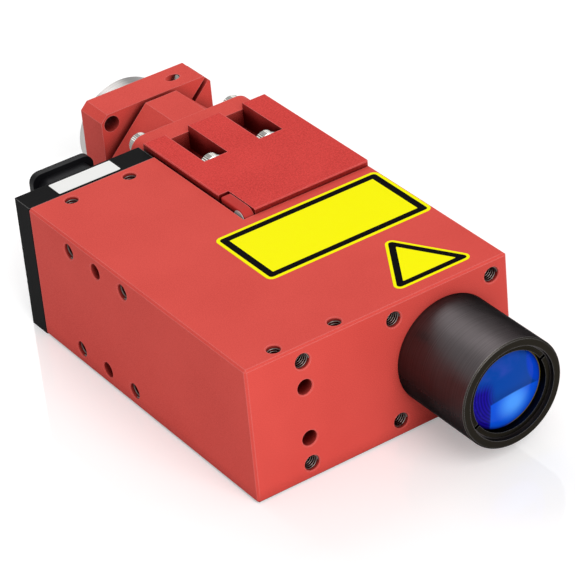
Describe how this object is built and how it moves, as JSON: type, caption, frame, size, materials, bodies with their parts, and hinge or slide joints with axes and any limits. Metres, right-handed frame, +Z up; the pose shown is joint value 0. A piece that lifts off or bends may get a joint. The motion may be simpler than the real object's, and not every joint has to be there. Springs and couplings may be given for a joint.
{
  "type": "laser processing head",
  "caption": "Laser focusing head: rectangular anodised housing with an objective tube in front, a fibre collimator with its clamp behind, and an inner lens drive.",
  "frame": {"origin": "where the optical axis leaves the housing's front face, the centre of the front square of four threads", "axes": "+Z up; the beam runs along -Y, from the collimator at +Y to the objective at -Y; +X to the right, seen from the front with the objective towards the viewer"},
  "size_m": [0.11, 0.2538, 0.0564],
  "materials": {
    "red_anodised": "bead-blasted, red anodised",
    "red_anodised_coarse": "coarsely blasted, red anodised",
    "black_anodised": "satin black anodised",
    "black_moulded": "fine-grained moulding",
    "clear_aluminium": "turned, clear anodised",
    "steel": "stainless, machined",
    "dark_steel": "black oxide",
    "coated_glass": "polished, coated against reflection",
    "clear_glass": "polished",
    "rubber": "moulded",
    "gasket": "cut sheet",
    "nickel": "nickel plated",
    "gold": "gold plated",
    "copper": "enamelled wire",
    "board": "solder mask",
    "chip": "moulded",
    "carriage_metal": "milled"
  },
  "bodies": {
    "head": {"housing": "red_anodised", "cover_block": "red_anodised_coarse", "cover_gasket": "gasket", "lever_pin": "steel", "cover_screws": "steel", "cover_washers": "steel", "end_plate": "black_anodised", "end_plate_screws": "dark_steel", "connector_shroud": "black_moulded", "connector_shell": "nickel", "connector_insulator": "black_moulded", "connector_contacts": "gold", "connector_posts": "nickel", "objective_tube": "black_anodised", "front_retaining_ring": "black_anodised", "front_lens": "coated_glass", "rear_objective_lens": "coated_glass", "lens_spacer": "black_anodised", "tube_seal": "rubber", "input_flange": "red_anodised", "protective_window": "clear_glass", "window_ring": "black_anodised", "flange_screws": "steel", "guide_rails": "steel", "coil_yoke": "dark_steel", "coil_magnet": "nickel", "coil_pole_cap": "dark_steel", "control_board": "board", "board_spacers": "nickel", "board_screws": "steel", "board_chips": "chip", "encoder_reader": "chip", "end_stops": "rubber"},
    "focus_carriage": {"lens_carriage": "carriage_metal", "moving_lens": "clear_glass", "moving_lens_ring": "black_anodised", "runner_blocks": "steel", "coil_former": "carriage_metal", "coil_winding": "copper", "encoder_scale": "clear_glass"},
    "clamp": {"clamp_plate": "red_anodised", "clamp_screw": "steel"},
    "collimator": {"collimator_body": "clear_aluminium", "collimator_lens_ring": "black_anodised", "collimator_lens": "clear_glass"},
    "lever": {"release_lever": "red_anodised"}
  },
  "joints": [
    {"name": "focus_slide", "type": "slide", "parent": "head", "child": "focus_carriage", "axis": [0, 1, 0], "range_m": [-0.004, 0.004]},
    {"name": "clamp_turn", "type": "hinge", "parent": "head", "child": "clamp", "pos_m": [0, 0.1905, 0], "axis": [0, 1, 0], "range_deg": [-45, 45]},
    {"name": "collimator_turn", "type": "hinge", "parent": "head", "child": "collimator", "pos_m": [0, 0.1905, 0], "axis": [0, 1, 0], "continuous": true},
    {"name": "lever_turn", "type": "hinge", "parent": "head", "child": "lever", "pos_m": [-0.025, 0.085, 0.02505], "axis": [1, 0, 0], "range_deg": [0, 90]}
  ]
}
